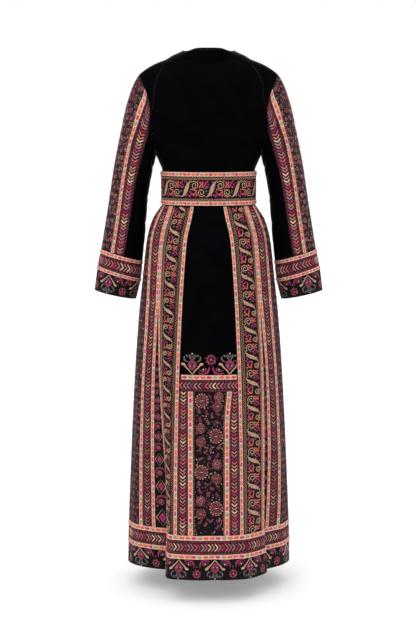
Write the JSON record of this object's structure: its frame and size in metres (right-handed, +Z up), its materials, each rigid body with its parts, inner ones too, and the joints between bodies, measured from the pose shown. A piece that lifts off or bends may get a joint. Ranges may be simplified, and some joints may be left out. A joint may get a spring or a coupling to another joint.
{
  "type": "palestinian thobe dress",
  "caption": "Floor-length long-sleeved thobe dress in dark velvet with embroidered strips, braids, hem border and wide belt, hollow and open as worn.",
  "frame": {"origin": "midway between the two shoulder points at the base of the neck, where the wearer's shoulders hold the dress", "axes": "+Z up, +Y the way the wearer faces, +X to the right as seen from behind; the picture shows the back, which faces -Y"},
  "size_m": [0.6312, 0.3914, 1.4205],
  "materials": {
    "velvet": "soft black velvet pile",
    "wine_embroidery": "close magenta, coral and cream stitching on black and wine velvet",
    "gold_embroidery": "tan-gold scroll couching with coral and magenta sprigs on black",
    "braid": "narrow cream braid with coral and magenta ovals"
  },
  "bodies": {
    "root": {"back_bodice": "velvet", "back_braid_left": "braid", "back_braid_right": "braid", "back_centre_panel": "velvet", "back_inset": "wine_embroidery", "belt": "gold_embroidery", "belt_braid_lower": "braid", "belt_braid_upper": "braid", "border_braid_lower": "braid", "border_braid_upper": "braid", "collar": "velvet", "cuff_braid_lower_left": "braid", "cuff_braid_lower_right": "braid", "cuff_braid_upper_left": "braid", "cuff_braid_upper_right": "braid", "cuff_left": "wine_embroidery", "cuff_right": "wine_embroidery", "front_bodice_left": "velvet", "front_bodice_right": "velvet", "front_braid_left": "braid", "front_braid_right": "braid", "front_centre_panel": "velvet", "front_scroll_panel_lower_left": "gold_embroidery", "front_scroll_panel_lower_right": "gold_embroidery", "front_scroll_panel_upper_left": "gold_embroidery", "front_scroll_panel_upper_right": "gold_embroidery", "front_side_braid_left": "braid", "front_side_braid_right": "braid", "godet_left": "wine_embroidery", "godet_right": "wine_embroidery", "hem_border": "wine_embroidery", "inset_braid_left": "braid", "inset_braid_right": "braid", "inset_top_braid": "braid", "scroll_panel_lower_left": "gold_embroidery", "scroll_panel_lower_right": "gold_embroidery", "scroll_panel_upper_left": "gold_embroidery", "scroll_panel_upper_right": "gold_embroidery", "side_braid_left": "braid", "side_braid_right": "braid", "side_panel_left": "wine_embroidery", "side_panel_right": "wine_embroidery", "sleeve_braid_back_left": "braid", "sleeve_braid_back_right": "braid", "sleeve_braid_front_left": "braid", "sleeve_braid_front_right": "braid", "sleeve_left": "wine_embroidery", "sleeve_right": "wine_embroidery"}
  },
  "joints": []
}
